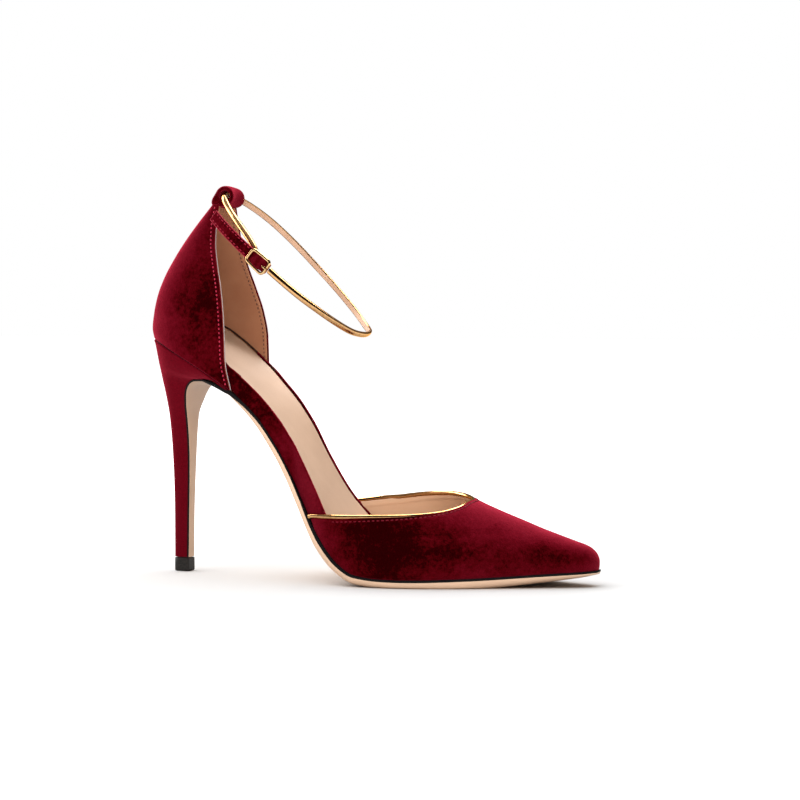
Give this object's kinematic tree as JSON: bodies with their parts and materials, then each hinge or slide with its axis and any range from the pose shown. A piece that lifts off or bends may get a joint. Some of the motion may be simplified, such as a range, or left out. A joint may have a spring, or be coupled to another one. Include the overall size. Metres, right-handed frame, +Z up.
{
  "type": "stiletto pump",
  "caption": "Right pointed-toe stiletto pump with an open waist, a high heel counter, a low vamp edged with gold cord and a buckled ankle strap.",
  "frame": {"origin": "bottom centre of the shoe's box, on the floor", "axes": "+X towards the toe, +Y towards the medial side of the foot, +Z up"},
  "size_m": [0.2044, 0.074, 0.1723],
  "materials": {
    "velvet": "burgundy velvet with a short nap",
    "sole_leather": "smooth nude leather with a black painted edge",
    "lining_leather": "soft nude leather",
    "metallic_leather": "gold metallic leather",
    "gold_metal": "polished gold plating",
    "heel_tip": "black, matte"
  },
  "bodies": {
    "root": {"outsole": "sole_leather", "heel": "velvet", "heel_tip": "heel_tip", "insole": "lining_leather", "upper": "velvet", "vamp_piping": "metallic_leather", "strap_keeper": "velvet", "ankle_strap": "metallic_leather", "strap_tail": "velvet", "buckle_frame": "gold_metal", "buckle_prong": "gold_metal"}
  },
  "joints": []
}
